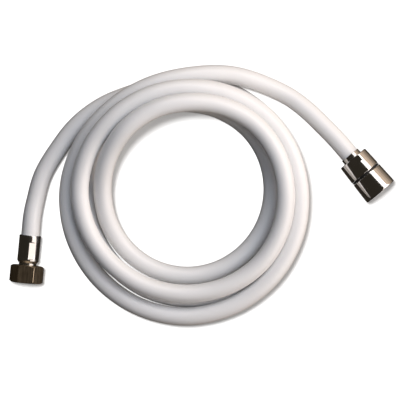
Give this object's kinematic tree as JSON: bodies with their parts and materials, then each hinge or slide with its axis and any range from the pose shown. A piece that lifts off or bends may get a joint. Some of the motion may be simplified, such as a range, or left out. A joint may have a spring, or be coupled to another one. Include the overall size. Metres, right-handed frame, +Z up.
{
  "type": "flexible hose",
  "caption": "White flexible shower hose lying in a loose coil, with a hex union nut on a crimped ferrule at one end and a round turning connector with a black ring at the other.",
  "frame": {"origin": "middle of the part's box, on the floor it lies on", "axes": "+Z up from the floor; +X towards the turning connector's side; +Y away from the side that the nut's mouth faces"},
  "size_m": [0.3151, 0.2119, 0.0531],
  "materials": {
    "white_pvc": "smooth, slightly soft sheen",
    "nickel_plate": "bright nickel plate on brass",
    "chrome_plate": "polished chrome plate on brass",
    "stainless_steel": "bright drawn steel",
    "plain_brass": "turned",
    "black_rubber": "matt",
    "black_plastic": "satin",
    "white_acetal": "satin"
  },
  "bodies": {
    "hose_with_stems": {"hose": "white_pvc", "nut_stem": "nickel_plate", "nut_ferrule": "stainless_steel", "turning_stem": "plain_brass", "turning_ferrule": "stainless_steel", "seal_ring": "black_rubber"},
    "union_nut": {"hex_nut": "nickel_plate", "nut_washer": "black_rubber"},
    "connector": {"front_nut": "chrome_plate", "slip_ring": "black_plastic", "rear_sleeve": "chrome_plate", "bearing_washer": "white_acetal", "front_washer": "black_rubber"}
  },
  "joints": [
    {"name": "nut_turns", "type": "hinge", "parent": "hose_with_stems", "child": "union_nut", "pos_m": [-0.1439, -0.0709, 0.012], "axis": [0.0955, 0.9954, 0], "continuous": true},
    {"name": "connector_turns", "type": "hinge", "parent": "hose_with_stems", "child": "connector", "pos_m": [0.147, 0.0036, 0.0143], "axis": [-0.6397, 0.7676, -0.0387], "continuous": true}
  ]
}
